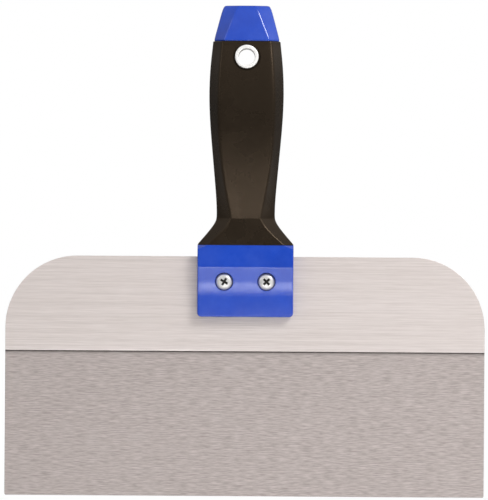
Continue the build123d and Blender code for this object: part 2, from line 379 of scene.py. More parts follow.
# %% Handling marks group
handling_marks, start, end = new_group(
    "handling_marks",
    [("Vector", "NodeSocketVector", None), ("Patch", "NodeSocketFloat", 25.0)],
    [("Rubbed", "NodeSocketFloat"), ("Smears", "NodeSocketFloat")],
)
patch_scale = math_node(handling_marks, "DIVIDE", per_metre, start.outputs["Patch"])
patch_noise = noise(handling_marks, start.outputs["Vector"], 1.0, 5.0, 0.62)
handling_marks.links.new(patch_scale, patch_noise.inputs["Scale"])
rubbed = spread(handling_marks, patch_noise.outputs["Fac"], 0.42, 0.68, 0.0, 1.0)
smear_noise = noise(handling_marks, start.outputs["Vector"], 1.0, 3.0, 0.5)
smear_noise.inputs["Distortion"].default_value = 1.2
smear_scale = math_node(handling_marks, "MULTIPLY", patch_scale, 2.3)
handling_marks.links.new(smear_scale, smear_noise.inputs["Scale"])
smears = spread(handling_marks, smear_noise.outputs["Fac"], 0.55, 0.75, 0.0, 1.0)
handling_marks.links.new(rubbed, end.inputs["Rubbed"])
handling_marks.links.new(smears, end.inputs["Smears"])

# %% [markdown]
# A finish starts with one helper: it makes the material, its Principled shader and its Object
# coordinates, and gives the uniform values to the shader's own sockets.

# %% Finish helpers


def new_finish(name, **uniform):
    """Make a material and return its tree, shader and object vector."""
    finish = bpy.data.materials.new(name)
    finish.use_nodes = True
    tree = finish.node_tree
    shader = tree.nodes["Principled BSDF"]
    for title, value in uniform.items():
        shader.inputs[title.replace("_", " ")].default_value = value
    place = add_node(tree, "ShaderNodeTexCoord")
    return finish, tree, shader, place.outputs["Object"]


def use_group(tree, group, vector, **values):
    """Place a pattern group in a finish and set its own sizes."""
    node = add_node(tree, "ShaderNodeGroup", node_tree=group)
    tree.links.new(vector, node.inputs["Vector"])
    for title, value in values.items():
        node.inputs[title.replace("_", " ")].default_value = value
    return node


def two_tone(tree, mask, low_colour, high_colour):
    """Mix two colours by a mask."""
    node = add_node(tree, "ShaderNodeMix", data_type="RGBA")
    node.inputs["A"].default_value = (*low_colour, 1.0)
    node.inputs["B"].default_value = (*high_colour, 1.0)
    tree.links.new(mask, node.inputs["Factor"])
    return node.outputs["Result"]


def overlay(tree, base, colour, mask, share):
    """Lay a colour over a base where a mask times a share says."""
    node = add_node(tree, "ShaderNodeMix", data_type="RGBA")
    tree.links.new(base, node.inputs["A"])
    node.inputs["B"].default_value = (*colour, 1.0)
    tree.links.new(math_node(tree, "MULTIPLY", mask, share), node.inputs["Factor"])
    return node.outputs["Result"]


def surface(tree, shader, colour, mask, rough_low, rough_high):
    """Feed a colour and a roughness range to the shader."""
    tree.links.new(colour, shader.inputs["Base Color"])
    tree.links.new(spread(tree, mask, 0.0, 1.0, rough_low, rough_high), shader.inputs["Roughness"])


def bump(tree, shader, height, strength, distance):
    """Feed a height to the shader's normal."""
    node = add_node(tree, "ShaderNodeBump")
    node.inputs["Strength"].default_value = strength
    node.inputs["Distance"].default_value = distance * MM
    tree.links.new(height, node.inputs["Height"])
    tree.links.new(node.outputs["Normal"], shader.inputs["Normal"])


# %% [markdown]
# The stiffener is belt-brushed sheet: bright, a little warm, with long faint lines along it. The lines
# change its colour only slightly and its roughness more, which is what makes brushed steel look soft.

# %% Brushed stiffener
brushed_stiffener, tree, shader, place = new_finish("brushed_stiffener", Metallic=0.7, IOR=2.0)
lines = use_group(tree, brushed_lines, place, Length=14.0, Spacing=0.55, Dash_share=0.45)
marks = use_group(tree, handling_marks, place, Patch=60.0)
metal = two_tone(tree, lines.outputs["Lines"], (0.66, 0.592, 0.563), (0.83, 0.757, 0.732))
worn = overlay(tree, metal, (0.80, 0.745, 0.72), marks.outputs["Smears"], 0.25)
surface(tree, shader, worn, lines.outputs["Lines"], 0.50, 0.38)
bump(tree, shader, lines.outputs["Lines"], 0.25, 0.03)

# %% [markdown]
# The blade is ground, not brushed: its dashes are shorter and deeper, and the steel is darker because
# the rough face scatters the light. A painted shade lies in the corner under the stiffener's edge: the
# steel is darkened there, as the stiffener's contact shadow, and clears within two millimetres. The object's
# own height gives that mask, and its depth keeps the painted shade off the back of the sheet, where no
# stiffener stands.

# %% Ground blade
SHADE_REACH = 2.0 * MM
SHADE_SHARE = 0.6

ground_blade, tree, shader, place = new_finish("ground_blade", Metallic=0.75, IOR=2.0)
lines = use_group(tree, brushed_lines, place, Length=6.0, Spacing=0.45, Dash_share=0.8)
marks = use_group(tree, handling_marks, place, Patch=45.0)
metal = two_tone(tree, lines.outputs["Lines"], (0.385, 0.334, 0.316), (0.608, 0.539, 0.522))
worn = overlay(tree, metal, (0.58, 0.525, 0.508), marks.outputs["Smears"], 0.25)
spot = add_node(tree, "ShaderNodeSeparateXYZ")
tree.links.new(place, spot.inputs["Vector"])
# painted shade: the steel darkens towards the stiffener's lower edge, standing in for its contact shadow
near_edge = spread(tree, spot.outputs["Z"], plate_low.z - SHADE_REACH, plate_low.z, 0.0, 1.0)
painted_shade = math_node(tree, "POWER", near_edge, 2.0)
sheet_middle_y = (blade_low.y + blade_high.y) / 2
front_share = spread(tree, spot.outputs["Y"], blade_low.y + 0.1 * MM, sheet_middle_y, SHADE_SHARE, 0.0)
smears_and_shade = overlay(tree, worn, (0.10, 0.085, 0.08), painted_shade, front_share)
surface(tree, shader, smears_and_shade, lines.outputs["Lines"], 0.52, 0.4)
bump(tree, shader, lines.outputs["Dashes"], 0.4, 0.04)

# %% [markdown]
# The hard moulding is glossy blue plastic with a sparkly grain. A thin coat keeps a clear highlight on
# top of a slightly rougher body, as on moulded nylon.

# %% Blue moulding
blue_moulding, tree, shader, place = new_finish("blue_moulding", Coat_Weight=0.5, Coat_Roughness=0.13)
grain = use_group(tree, fine_grain, place, Grain=0.7)
marks = use_group(tree, handling_marks, place, Patch=20.0)
tint = two_tone(tree, grain.outputs["Mottle"], (0.0055, 0.047, 0.405), (0.0085, 0.060, 0.475))
scuffed = overlay(tree, tint, (0.06, 0.12, 0.55), marks.outputs["Rubbed"], 0.3)
surface(tree, shader, scuffed, marks.outputs["Rubbed"], 0.21, 0.16)
bump(tree, shader, grain.outputs["Height"], 0.5, 0.05)

# %% [markdown]
# The grip is a soft black rubber with a warm brown cast. Its grain is finer than the plastic's, and the
# palm has rubbed some patches smoother.

# %% Black grip
warm_shine = (1.0, 0.74, 0.52, 1.0)
black_grip, tree, shader, place = new_finish(
    "black_grip", Specular_IOR_Level=0.38, Specular_Tint=warm_shine,
)
grain = use_group(tree, fine_grain, place, Grain=0.45)
marks = use_group(tree, handling_marks, place, Patch=22.0)
tint = two_tone(tree, grain.outputs["Mottle"], (0.0105, 0.0075, 0.005), (0.0138, 0.0100, 0.0066))
smears_and_shade = overlay(tree, tint, (0.022, 0.0165, 0.0115), marks.outputs["Smears"], 0.35)
surface(tree, shader, smears_and_shade, marks.outputs["Rubbed"], 0.29, 0.23)
bump(tree, shader, grain.outputs["Height"], 0.28, 0.05)

# %% [markdown]
# Five small metal finishes remain: bright zinc on the screws, a near-black painted shade for their
# recess, bright nickel on the eyelet, plain zinc on the nuts, and a dark painted shade on the
# stiffener's sheared edge. They differ in colour, roughness and how much grain they show.

# %% Small metal finishes


def small_metal(name, dark, light, smooth_rough, coarse_rough, grain_size, metallic=1.0):
    """Make a plated finish with a faint grain and rubbed patches."""
    finish, tree, shader, place = new_finish(name, Metallic=metallic)
    grain = use_group(tree, fine_grain, place, Grain=grain_size)
    marks = use_group(tree, handling_marks, place, Patch=4.0)
    colour = two_tone(tree, marks.outputs["Rubbed"], dark, light)
    surface(tree, shader, colour, marks.outputs["Smears"], smooth_rough, coarse_rough)
    bump(tree, shader, grain.outputs["Height"], 0.06, 0.01)
    return finish


bright_zinc = small_metal("bright_zinc", (0.70, 0.695, 0.69), (0.86, 0.85, 0.845), 0.32, 0.45, 0.9, 0.6)
# a near-black painted shade for the screws' cross recess
painted_recess_shade = small_metal("painted_recess_shade", (0.02, 0.018, 0.016), (0.05, 0.046, 0.042), 0.6, 0.75, 0.9, 0.3)
bright_nickel = small_metal("bright_nickel", (0.93, 0.92, 0.90), (0.99, 0.98, 0.97), 0.34, 0.45, 1.2, 0.35)
# a dark painted shade for the stiffener's sheared edge
painted_edge_shade = small_metal("painted_edge_shade", (0.15, 0.133, 0.12), (0.24, 0.213, 0.198), 0.6, 0.7, 0.9, 0.5)
plain_nut = small_metal("plain_nut", (0.52, 0.52, 0.50), (0.66, 0.66, 0.64), 0.32, 0.5, 0.9)
print("finishes", len(bpy.data.materials))

# %% [markdown]
# ## Helpers for every piece
# A piece starts as a bmesh, which holds its corners, edges and faces while they are worked on. When it is
# done it becomes a mesh object at the origin, so that it sits in the frame with no fitting, and it rides
# on one body of the model. Sharp edges are marked by their angle and everything else is shaded smooth.

# %% Helpers for pieces
SHARP_ANGLE = math.radians(28.0)
MERGE_DISTANCE = 0.0005 * MM


def mesh_object(name, bm):
    """Turn a bmesh into an object that sits at the origin."""
    bmesh.ops.remove_doubles(bm, verts=bm.verts, dist=MERGE_DISTANCE)
    bmesh.ops.recalc_face_normals(bm, faces=bm.faces)
    mesh = bpy.data.meshes.new(name)
    bm.to_mesh(mesh)
    bm.free()
    made = bpy.data.objects.new(name, mesh)
    scene.collection.objects.link(made)
    return made


def settle(piece):
    """Apply a piece's modifiers, so that its mesh is the final one."""
    graph = bpy.context.evaluated_depsgraph_get()
    mesh = bpy.data.meshes.new_from_object(piece.evaluated_get(graph))
    piece.modifiers.clear()
    old = piece.data
    piece.data = mesh
    bpy.data.meshes.remove(old)


def cut(piece, cutter, how="DIFFERENCE"):
    """Take a cutter out of a piece, or join it on, and throw the cutter away."""
    tool = piece.modifiers.new("cut", "BOOLEAN")
    tool.operation = how
    tool.solver = "EXACT"
    tool.object = cutter
    settle(piece)
    bpy.data.objects.remove(cutter)


def shade(piece):
    """Shade a piece smooth, with sharp edges by angle and flat faces kept flat."""
    piece.data.shade_smooth()
    piece.data.set_sharp_from_angle(angle=SHARP_ANGLE)
    even = piece.modifiers.new("even_shading", "WEIGHTED_NORMAL")
    even.keep_sharp = True
    even.weight = 90


def present(piece, body, slot, stands_for, *finishes):
    """Shade a piece, give it its finishes and fasten it to its body."""
    for finish in finishes:
        piece.data.materials.append(finish)
    shade(piece)
    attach(piece, body)
    if stands_for:
        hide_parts(*stands_for)
    print(piece.name, "faces", len(piece.data.polygons))


# %% [markdown]
# ## The two sheets
# The stiffener and the blade are plain rolled sheet with two rounded shoulders. Each starts as a flat
# grid of one face. A vertex bevel rounds its corners, an extrusion gives its thickness, and a fine bevel
# breaks the edges so that they catch light as ground steel does.

# %% Sheet helper
SHOULDER_RADIUS = 38.1 * MM
TIP_RADIUS = 0.8 * MM
SHOULDER_STEPS = 20
SQUARE_EDGE = 1.0
NEAR = 0.01 * MM
half_sheet = blade_high.x


def rounded_sheet(bottom_z, top_z, front_y, back_y, bottom_radius):
    """Make a sheet with rounded shoulders, standing in the XZ plane."""
    bm = bmesh.new()
    bmesh.ops.create_grid(bm, x_segments=1, y_segments=1, size=1.0)
    bmesh.ops.scale(bm, verts=bm.verts, vec=(half_sheet, (top_z - bottom_z) / 2, 1.0))
    bmesh.ops.rotate(bm, verts=bm.verts, matrix=Matrix.Rotation(math.radians(90.0), 3, "X"))
    bmesh.ops.translate(bm, verts=bm.verts, vec=(0.0, front_y, (top_z + bottom_z) / 2))
    middle_z = (top_z + bottom_z) / 2
    shoulders = [v for v in bm.verts if v.co.z > middle_z]
    bmesh.ops.bevel(bm, geom=shoulders, offset=SHOULDER_RADIUS, segments=SHOULDER_STEPS,
                    profile=0.5, affect="VERTICES", material=-1)
    if bottom_radius:
        tips = [v for v in bm.verts if v.co.z < bottom_z + 0.1 * MM]
        bmesh.ops.bevel(bm, geom=tips, offset=bottom_radius, segments=4,
                        profile=0.5, affect="VERTICES", material=-1)
    made = bmesh.ops.extrude_face_region(bm, geom=list(bm.faces))
    back = [item for item in made["geom"] if isinstance(item, bmesh.types.BMVert)]
    bmesh.ops.translate(bm, verts=back, vec=(0.0, back_y - front_y, 0.0))
    bmesh.ops.recalc_face_normals(bm, faces=bm.faces)
    return bm


def front_rim(bm, front_y, above_z):
    """List the edges round a sheet's front face that lie above a height."""
    return [
        e for e in bm.edges
        if all(abs(v.co.y - front_y) < NEAR and v.co.z > above_z for v in e.verts)
        and len(e.link_faces) == 2 and e.calc_face_angle(0.0) > SQUARE_EDGE
    ]


def slice_rows(bm, heights):
    """Cut a sheet across at each height."""
    for height in heights:
        everything = [*bm.verts, *bm.edges, *bm.faces]
        bmesh.ops.bisect_plane(bm, geom=everything, dist=0.001 * MM, plane_co=(0.0, 0.0, height),
                               plane_no=(0.0, 0.0, 1.0))


def round_rod(radius, x, front_y, back_y, z, steps=48):
    """Make a plain round cutter that runs from front to back."""
    bm = bmesh.new()
    bmesh.ops.create_cone(bm, cap_ends=True, segments=steps, radius1=radius, radius2=radius,
                          depth=back_y - front_y)
    bmesh.ops.rotate(bm, verts=bm.verts, matrix=Matrix.Rotation(math.radians(90.0), 3, "X"))
    bmesh.ops.translate(bm, verts=bm.verts, vec=(x, (front_y + back_y) / 2, z))
    return bm


# %% [markdown]
# The screws give the places of the holes. The frame has one node for each screw, so the middle of its
# box is the axis of its hole. A rod that reaches past the head at both ends drills each sheet.

# %% Screw places
HOLE_RADIUS = 2.7 * MM
PAST_HEAD = 20 * MM

screw_axes = {}
for side in ("left", "right"):
    low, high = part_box("clamp_screw_" + side)
    screw_axes[side] = ((low.x + high.x) / 2, (low.z + high.z) / 2)
    screw_front_y = low.y
    screw_back_y = high.y
print("screw axes", {side: round(x / MM, 2) for side, (x, z) in screw_axes.items()})


def drill_screw_holes(piece):
    """Cut both screw holes through a piece."""
    for x, z in screw_axes.values():
        cut(piece, mesh_object("tool", round_rod(HOLE_RADIUS, x, -PAST_HEAD, PAST_HEAD, z)))


# %% [markdown]
# The stiffener's lower edge is what draws the double line across the tool. Its front leans down by a few
# degrees and shines, and under that the sheared edge turns in towards the blade and takes a dark finish,
# a painted shade for the step. Two planes cut these facets, and each cut is filled again.

# %% Stiffener sheet
SHINE_HEIGHT = 0.9 * MM
SHINE_DEPTH = 0.12 * MM
SHEAR_HEIGHT = 0.65 * MM
EDGE_BREAK = 0.12 * MM


def slice_off(bm, point, outwards):
    """Cut off what lies outside a plane and close the cut."""
    everything = [*bm.verts, *bm.edges, *bm.faces]
    sliced = bmesh.ops.bisect_plane(bm, geom=everything, dist=0.0001 * MM, plane_co=point,
                                    plane_no=outwards.normalized(), clear_outer=True)
    rim = [item for item in sliced["geom_cut"] if isinstance(item, bmesh.types.BMEdge)]
    return bmesh.ops.holes_fill(bm, edges=rim, sides=8)["faces"]


bm = rounded_sheet(plate_low.z, plate_high.z, plate_low.y, plate_high.y, 0.0)
shear_point = Vector((0.0, plate_low.y + SHINE_DEPTH, plate_low.z + SHEAR_HEIGHT))
slice_off(bm, shear_point, Vector((0.0, -SHINE_HEIGHT, -SHINE_DEPTH)))
shear_depth = plate_high.y - shear_point.y
sheared = slice_off(bm, shear_point, Vector((0.0, -SHEAR_HEIGHT, -shear_depth)))
# the sheared facet takes the second finish, a painted shade for the step
for face in sheared:
    face.material_index = 1
rim = front_rim(bm, plate_low.y, plate_low.z + MM)
bmesh.ops.bevel(bm, geom=rim, offset=EDGE_BREAK, segments=2, profile=0.5, affect="EDGES", material=-1)
stiffener = mesh_object("stiffener_sheet", bm)
drill_screw_holes(stiffener)
present(stiffener, "handle", "stiffener_steel", ["stiffener_plate"], brushed_stiffener, painted_edge_shade)

# %% [markdown]
# The blade is one thin sheet from the top of the head to the cutting edge. It is cut across in close
# rows that lie evenly above and below the hinge height, and in fewer rows below them.

# %% Flexible blade
BEND_ROWS = 28
FREE_ROWS = 6
HINGE_BELOW_TANG = 0.55 * MM

hinge_z = tang_low.z - HINGE_BELOW_TANG
bend_top_z = plate_low.z
bend_end_z = 2.0 * hinge_z - bend_top_z
bm = rounded_sheet(edge_z, tang_high.z, blade_low.y, blade_high.y, TIP_RADIUS)
ground = front_rim(bm, blade_low.y, edge_z - MM)
bmesh.ops.bevel(bm, geom=ground, offset=EDGE_BREAK, segments=1, profile=0.5, affect="EDGES", material=-1)
rows = [bend_top_z + 0.5 * MM + (bend_end_z - bend_top_z - MM) * n / BEND_ROWS for n in range(BEND_ROWS + 1)]
rows += [bend_end_z + (edge_z - bend_end_z) * n / FREE_ROWS for n in range(1, FREE_ROWS)]
slice_rows(bm, rows)
flexible_blade = mesh_object("flexible_blade", bm)
drill_screw_holes(flexible_blade)
flexible_blade.data.materials.append(ground_blade)
shade(flexible_blade)
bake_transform(flexible_blade)
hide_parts("blade", "blade_tang")
print("blade rows", len(rows))

# %% [markdown]
# ## The handle's sections
# The grip and the moulding inside it have eight-sided sections that change along the handle: a front
# panel, a back panel, two sides and four bevels between them. One helper lists the points of such a
# section, with a support point on each side of every corner. The supports tell the Subdivision Surface
# where a panel is flat and how soft the ridge between two panels is.

# %% Section helpers
SECTION_POINTS = 24


def angle_of(point):
    """Return the direction of a point seen from the handle's axis."""
    return math.atan2(point[1], point[0])


def section(width, depth, panel_share, side_share, softness, inset=0.0):
    """List an eight-sided section's points by their direction, in metres."""
    wide = (width / 2 - inset) * MM
    deep = (depth / 2 - inset) * MM
    panel = (panel_share * width / 2 - inset / 2) * MM
    side = (side_share * depth / 2 - inset / 2) * MM
    corners = [
        Vector((wide, -side)), Vector((wide, side)), Vector((panel, deep)), Vector((-panel, deep)),
        Vector((-wide, side)), Vector((-wide, -side)), Vector((-panel, -deep)), Vector((panel, -deep)),
    ]
    points = []
    for place, corner in enumerate(corners):
        before = corners[place - 1]
        after = corners[(place + 1) % len(corners)]
        points.append(corner + (before - corner).normalized() * softness * MM)
        points.append(corner)
        points.append(corner + (after - corner).normalized() * softness * MM)
    return sorted(points, key=angle_of)


def sweep(rings, closed):
    """Extrude a ring of edges through a list of heights and sections."""
    bm = bmesh.new()
    start = bmesh.ops.create_circle(bm, segments=SECTION_POINTS, radius=1.0, cap_ends=False)
    ring = sorted(start["verts"], key=lambda v: angle_of(v.co))
    first = ring
    edges = list(bm.edges)
    for number, (height, points) in enumerate(rings):
        if number:
            made = bmesh.ops.extrude_edge_only(bm, edges=edges)
            fresh = {item for item in made["geom"] if isinstance(item, bmesh.types.BMVert)}
            edges = list({e for v in fresh for e in v.link_edges if e.other_vert(v) in fresh})
            ring = sorted(fresh, key=lambda v: angle_of(v.co))
        for corner, point in zip(ring, points):
            corner.co = (point.x, point.y, height)
    first_edges = [e for e in bm.edges if all(v in first for v in e.verts)]
    if closed:
        bmesh.ops.bridge_loops(bm, edges=first_edges + edges)
    else:
        bmesh.ops.edgeloop_fill(bm, edges=first_edges)
        bmesh.ops.edgeloop_fill(bm, edges=edges)
    bmesh.ops.recalc_face_normals(bm, faces=bm.faces)
    return bm


# %% [markdown]
# Each station gives its place down the grip as a share of its length, then the width, the depth, the
# panel as a share of the width, the side as a share of the depth, and how soft the ridges are. The hand
# part is deepest under the palm and narrow at the neck, where it meets the flare in a crease.

# %% Grip stations
GRIP_WALL = 3.0
NECK_PLACE = 0.869
HEAD_WIDTH = 50.8
HEAD_DEPTH = 19.2

GRIP_STATIONS = [
    (0.0, 35.8, 21.4, 0.73, 0.37, 1.9),
    (0.12, 38.5, 25.0, 0.74, 0.37, 2.3),
    (0.25, 39.7, 27.4, 0.75, 0.37, 2.5),
    (0.38, 38.8, 27.9, 0.77, 0.37, 2.5),
    (0.52, 36.2, 26.8, 0.79, 0.37, 2.3),
    (0.66, 33.4, 24.4, 0.74, 0.37, 2.0),
    (0.78, 31.1, 21.5, 0.63, 0.37, 1.7),
    (0.845, 30.7, 19.75, 0.53, 0.37, 1.6),
    (NECK_PLACE, 30.9, HEAD_DEPTH, 0.505, 0.37, 1.5),
    (0.885, 32.0, HEAD_DEPTH, 0.54, 0.4, 1.4),
    (0.91, 35.2, HEAD_DEPTH, 0.58, 0.44, 1.4),
    (0.955, 43.1, HEAD_DEPTH, 0.69, 0.52, 1.2),
    (1.0, HEAD_WIDTH, HEAD_DEPTH, 0.787, 0.625, 1.0),
]
grip_length = seam_z - head_top_z


def station_ring(station, inset=0.0, lift=0.0):
    """Give the height and the section of one grip station."""
    place, width, depth, panel_share, side_share, softness = station
    height = seam_z - place * grip_length + lift * MM
    return (height, section(width, depth, panel_share, side_share, softness, inset))


# %% [markdown]
# The grip is a soft sleeve moulded over the tang. The ring of points runs down its outside, turns in at
# the head, comes back up inside and is bridged to where it began, so the wall is real. Rings close to
# the two ends keep the rims crisp, and the crease at the neck is set on the edges of its front and back.

# %% Grip sleeve
RIM_ROUND = 0.35
SURFACE_LEVELS = 3
NECK_FRONT = 3.7 * MM


def smooth_over(piece):
    """Subdivide a swept piece and keep the smooth mesh."""
    smooth = piece.modifiers.new("smooth", "SUBSURF")
    smooth.levels = SURFACE_LEVELS
    smooth.render_levels = SURFACE_LEVELS
    settle(piece)


top = GRIP_STATIONS[0]
bottom = GRIP_STATIONS[-1]
rings = [station_ring(top, RIM_ROUND), station_ring(top, 0.0, -RIM_ROUND), station_ring(top, 0.0, -1.6)]
rings += [station_ring(station) for station in GRIP_STATIONS[1:-1]]
rings += [station_ring(bottom, 0.05, 0.6), station_ring(bottom, 0.0, 0.12), station_ring(bottom, 0.12)]
rings += [station_ring(bottom, GRIP_WALL - 0.3), station_ring(bottom, GRIP_WALL, 0.3)]
rings += [station_ring(station, GRIP_WALL) for station in reversed(GRIP_STATIONS[1:-1])]
rings += [station_ring(top, GRIP_WALL, -0.3), station_ring(top, GRIP_WALL - 0.3)]
bm = sweep(rings, closed=True)

crease = bm.edges.layers.float.new("crease_edge")
neck_z = seam_z - NECK_PLACE * grip_length
for edge in bm.edges:
    low_corner, high_corner = edge.verts
    level = max(abs(low_corner.co.z - neck_z), abs(high_corner.co.z - neck_z)) < NEAR
    front_or_back = min(abs(low_corner.co.y), abs(high_corner.co.y)) > NECK_FRONT
    if level and front_or_back:
        edge[crease] = 1.0

grip_sleeve = mesh_object("grip_sleeve", bm)
smooth_over(grip_sleeve)

# %% [markdown]
# The eyelet sits in the sleeve: a through hole takes its tube, and a shallow round seat on each side
# takes its flange. The frame's box of the eyelet gives the sizes. The cutters are plain round rods.

# %% Eyelet seats
SEAT_CLEARANCE = 1.1 * MM
TUBE_RADIUS = 4.95 * MM
BORE_RADIUS = 4.35 * MM
PAST_GRIP = 30 * MM

ring_low, ring_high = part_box("hang_eyelet_ring")
flange_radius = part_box("hang_eyelet")[1].x
seat_y = ring_low.y
face_y = ring_high.y
cut(grip_sleeve, mesh_object("tool", round_rod(TUBE_RADIUS, 0.0, -PAST_GRIP, PAST_GRIP, 0.0)))
seat_radius = flange_radius + SEAT_CLEARANCE
cut(grip_sleeve, mesh_object("tool", round_rod(seat_radius, 0.0, -PAST_GRIP, -seat_y, 0.0, 64)))
cut(grip_sleeve, mesh_object("tool", round_rod(seat_radius, 0.0, seat_y, PAST_GRIP, 0.0, 64)))
present(grip_sleeve, "handle", "grip_rubber", ["grip"], black_grip)
for edge in grip_sleeve.data.edges:
    ends = [grip_sleeve.data.vertices[number].co for number in edge.vertices]
    if all(abs(end.z - neck_z) < 2 * NEAR and abs(end.y) > NECK_FRONT for end in ends):
        edge.use_edge_sharp = True

# %% [markdown]
# ## The hard moulding
# The blue moulding is one piece: a head that clamps the sheets, a tang that runs through the grip, and
# a cap at the end. The head is drawn as its side profile and extruded across. Its front has three zones:
# a flat top, a slope that thins it, and a lip over the plate, with a wide blend between slope and lip.

# %% Head of the moulding
CREASE_DOWN = 11.7 * MM
SLOPE_DOWN = 11.3 * MM
SLOPE_DROP = 1.85 * MM
LIP_DROP = 0.6 * MM
HEAD_CORNER = 2.2 * MM
HEAD_EDGE = 0.8 * MM
CREASE_REACH = 0.4 * MM
BLEND_REACH = 4.5 * MM
BLEND_STEPS = 8

half_depth = HEAD_DEPTH / 2 * MM
crease_z = head_top_z - CREASE_DOWN
slope_end_z = crease_z - SLOPE_DOWN
slope_end_y = half_depth - SLOPE_DROP
lip_y = slope_end_y - LIP_DROP

front_profile = [
    (-half_depth, head_top_z), (-half_depth, crease_z), (-slope_end_y, slope_end_z), (-lip_y, head_bottom_z),
]
bm = bmesh.new()
corners = [bm.verts.new((-half_head, y, z)) for y, z in front_profile]
corners += [bm.verts.new((-half_head, -y, z)) for y, z in reversed(front_profile)]
bm.faces.new(corners)
made = bmesh.ops.extrude_face_region(bm, geom=list(bm.faces))
far = [item for item in made["geom"] if isinstance(item, bmesh.types.BMVert)]
bmesh.ops.translate(bm, verts=far, vec=(2 * half_head, 0.0, 0.0))
bmesh.ops.recalc_face_normals(bm, faces=bm.faces)


def edges_where(bm, test):
    """List the edges whose two ends both pass a test."""
    return [e for e in bm.edges if test(e.verts[0].co) and test(e.verts[1].co)]


def cross_edges(bm, level):
    """List the edges that run from side to side at a height."""
    level_edges = edges_where(bm, lambda p: abs(p.z - level) < NEAR)
    return [e for e in level_edges if abs(e.verts[0].co.x - e.verts[1].co.x) > MM]


bmesh.ops.bevel(bm, geom=cross_edges(bm, slope_end_z), offset=BLEND_REACH, segments=BLEND_STEPS, profile=0.5,
                affect="EDGES", material=-1)
bmesh.ops.bevel(bm, geom=cross_edges(bm, crease_z), offset=CREASE_REACH, segments=BLEND_STEPS, profile=0.5,
                affect="EDGES", material=-1)

# %% [markdown]
# The grip's bevels run out on the head's four top corners, so a plane takes each corner off. Then the
# lower corners are rounded in the front view, and a fine bevel goes round both side outlines.

# %% Head corners and edges
FACET_WIDTH = 5.4 * MM
FACET_DEPTH = 3.6 * MM
FACET_RUN_OUT = 2.2 * MM
OUTLINE_ANGLE = math.radians(60.0)
OUTLINE_DEPTH = 5.0 * MM

for side_x in (-1, 1):
    for side_y in (-1, 1):
        corner = Vector((side_x * half_head, side_y * half_depth, head_top_z))
        panel_end = corner - Vector((side_x * FACET_WIDTH, 0.0, 0.0))
        side_end = corner - Vector((0.0, side_y * FACET_DEPTH, 0.0))
        run_out = corner - Vector((0.0, 0.0, FACET_RUN_OUT))
        outwards = (side_end - panel_end).cross(run_out - panel_end) * (side_x * side_y)
        slice_off(bm, panel_end, outwards)

low_corners = edges_where(bm, lambda p: p.z < head_bottom_z + NEAR)
low_corners = [e for e in low_corners if abs(e.verts[0].co.y - e.verts[1].co.y) > MM]
bmesh.ops.bevel(bm, geom=low_corners, offset=HEAD_CORNER, segments=6, profile=0.5,
                affect="EDGES", material=-1)
outline = [
    e for e in bm.edges
    if len(e.link_faces) == 2 and e.calc_face_angle(0.0) > OUTLINE_ANGLE
    and max(v.co.z for v in e.verts) < head_top_z - NEAR
    and min(abs(v.co.y) for v in e.verts) > OUTLINE_DEPTH
]
bmesh.ops.bevel(bm, geom=outline, offset=HEAD_EDGE, segments=3, profile=0.5, affect="EDGES",
                material=-1, clamp_overlap=True)
bmesh.ops.triangulate(bm, faces=[f for f in bm.faces if len(f.verts) > 4])
core_moulding = mesh_object("core_moulding", bm)
print("head faces", len(core_moulding.data.polygons))

# %% [markdown]
# The tang and the cap are one column, swept like the grip. Inside the grip it is the grip's own shape
# drawn in by the wall. At the seam it steps out to the cap, which stands in a little from the grip and
# narrows to the butt. A Subdivision Surface smooths it, and a union joins it to the head.

# %% Tang and cap
CAP_SIDE_SHARE = 0.38

CAP_STATIONS = [
    (0.0, 34.4, 20.0, 5.2, 1.5),
    (0.36, 31.3, 18.4, 6.1, 1.3),
    (0.7, 28.0, 16.1, 6.9, 1.2),
    (0.9, 25.7, 13.9, 7.4, 1.2),
    (1.0, 24.8, 13.0, 7.6, 1.2),
]
cap_height = (butt_z - seam_z) / MM


def cap_ring(station, inset=0.0, lift=0.0):
    """Give the height and the section of one cap station."""
    place, width, depth, bevel_width, softness = station
    panel_share = 1.0 - 2.0 * bevel_width / width
    height = seam_z + (place * cap_height + lift) * MM
    return (height, section(width, depth, panel_share, CAP_SIDE_SHARE, softness, inset))


seam = CAP_STATIONS[0]
butt = CAP_STATIONS[-1]
rings = [station_ring(bottom, GRIP_WALL, -3.0), station_ring(bottom, GRIP_WALL, -2.6)]
rings += [station_ring(station, GRIP_WALL) for station in reversed(GRIP_STATIONS[1:])]
rings += [station_ring(top, GRIP_WALL, -0.4), station_ring(top, GRIP_WALL)]
rings += [cap_ring(seam, 0.5), cap_ring(seam, 0.0, 0.1), cap_ring(seam, 0.0, 1.2)]
rings += [cap_ring(station) for station in CAP_STATIONS[1:-1]]
rings += [cap_ring(butt, -0.05, -1.3), cap_ring(butt, 0.35, -0.35), cap_ring(butt, 1.3), cap_ring(butt, 3.2)]
column = mesh_object("column", sweep(rings, closed=False))
smooth_over(column)
cut(core_moulding, column, "UNION")

# %% [markdown]
# Four cuts finish the moulding: the slot for the sheets, open below and at both sides; a round recess
# and a hole for each screw; a six-sided pocket for each nut; and the hole for the eyelet's tube.

# %% Slot, recesses and pockets
SLOT_TOP = plate_high.z + 0.3 * MM
RECESS_RADIUS = 4.9 * MM
RECESS_FLOOR = plate_low.y - 5.0 * MM
NUT_SEAT = blade_high.y + 3.6 * MM
NUT_HALF = 4.0 * MM
POCKET_HALF = 4.15 * MM
SLOT_SPARE = 10 * MM
corner_share = 1.0 / math.cos(math.radians(30.0))

